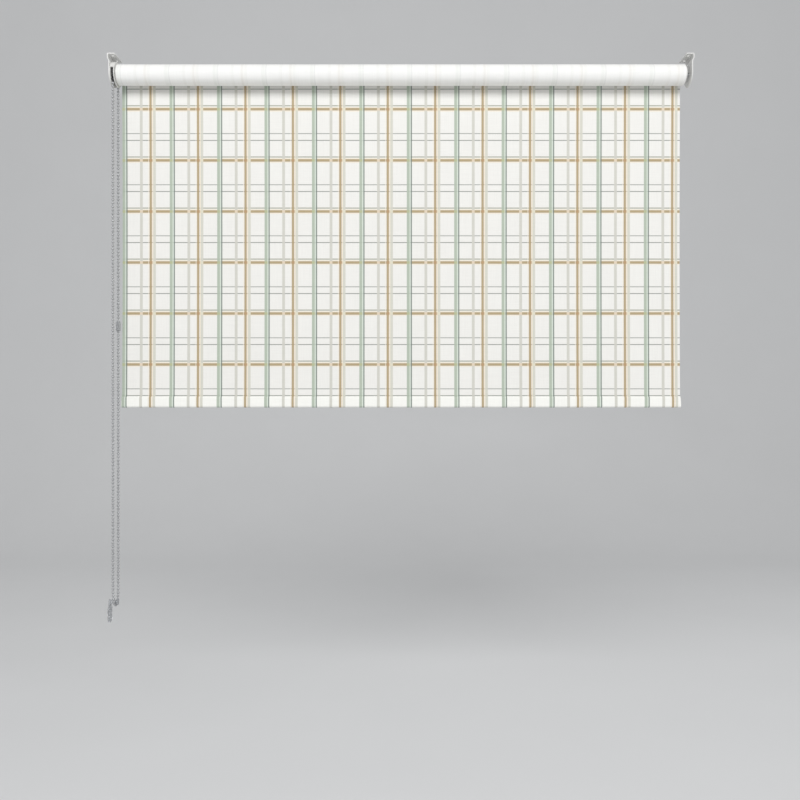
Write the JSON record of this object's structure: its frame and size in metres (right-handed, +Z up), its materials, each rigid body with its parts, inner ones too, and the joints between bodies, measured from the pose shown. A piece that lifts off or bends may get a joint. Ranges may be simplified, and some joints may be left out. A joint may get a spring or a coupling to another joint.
{
  "type": "roller blind",
  "caption": "Chain-operated roller blind with plaid cloth half lowered, spring-pin idle end, slotted chain guard, weighted hem and wall hold-down for the chain.",
  "frame": {"origin": "middle of the ceiling plane that the two brackets screw to, between the brackets and level with the roll's axis in depth", "axes": "+X along the roll from the chain end to the idle end, +Y towards the window, +Z up"},
  "size_m": [0.993, 0.0421, 0.9645],
  "materials": {
    "bracket_steel": "white powder coat, satin",
    "guard_plastic": "white moulded plastic, fine texture",
    "core_nylon": "dark grey nylon, moulded",
    "spring_steel": "bright spring wire",
    "crown_plastic": "white moulded plastic",
    "tube_aluminium": "mill finish extrusion",
    "strip_plastic": "flexible clear-white PVC strip",
    "cloth_face": "woven, printed plaid of sage green, tan and grey lines on off-white",
    "cloth_reverse": "white reverse of the cloth, the stripes showing through faintly",
    "bar_aluminium": "mill finish extrusion",
    "cap_plastic": "white moulded plastic",
    "pin_steel": "zinc plated steel",
    "chain_metal": "nickel plated bead chain",
    "connector_plastic": "translucent grey moulded clip",
    "hold_down_plastic": "translucent grey moulded plastic"
  },
  "bodies": {
    "fixed_frame": {"control_bracket": "bracket_steel", "idle_bracket": "bracket_steel", "chain_guard": "guard_plastic", "clutch_core": "core_nylon", "clutch_circlip": "spring_steel", "bead_chain": "chain_metal", "chain_wrap": "chain_metal", "chain_hold_down": "hold_down_plastic"},
    "roller": {"drive_crown": "crown_plastic", "roller_tube": "tube_aluminium", "fabric_strip": "strip_plastic", "fabric_roll": "cloth_reverse", "idle_plug": "crown_plastic", "idle_bush": "core_nylon"},
    "chain_wheel": {"sprocket": "core_nylon", "brake_springs": "spring_steel"},
    "bottom_rail": {"fabric_drop": "cloth_face", "hem_pocket": "cloth_face", "bottom_bar": "bar_aluminium", "bar_cap_left": "cap_plastic", "bar_cap_right": "cap_plastic"},
    "idle_shaft": {"idle_pin": "pin_steel", "idle_spring": "spring_steel"},
    "connector": {"chain_connector": "connector_plastic"}
  },
  "joints": [
    {"name": "roller_spin", "type": "hinge", "parent": "fixed_frame", "child": "roller", "pos_m": [0, 0, -0.03], "axis": [1, 0, 0], "range_deg": [-1904.34, 1672.51]},
    {"name": "sprocket_spin", "type": "hinge", "parent": "fixed_frame", "child": "chain_wheel", "pos_m": [-0.4871, 0, -0.03], "axis": [1, 0, 0], "range_deg": [-1904.84, 1673.01]},
    {"name": "bar_drop", "type": "slide", "parent": "fixed_frame", "child": "bottom_rail", "axis": [0, 0, 1], "range_m": [-0.57502, 0.50502], "deforming": ["fabric_drop"]},
    {"name": "connector_travel", "type": "slide", "parent": "fixed_frame", "child": "connector", "axis": [0, 0, 1], "range_m": [-0.44437, 0.39027]},
    {"name": "idle_pin_plunge", "type": "slide", "parent": "fixed_frame", "child": "idle_shaft", "axis": [-1, 0, 0], "range_m": [0, 0.0065], "stiffness_N_per_m": 600, "springref_m": -0.008, "deforming": ["idle_spring"]}
  ],
  "couplings": [
    {"joint": "sprocket_spin", "follows": "roller_spin", "ratio": 1},
    {"joint": "bar_drop", "follows": "roller_spin", "m_per_rad": 0.0173},
    {"joint": "connector_travel", "follows": "roller_spin", "m_per_rad": 0.013369}
  ]
}
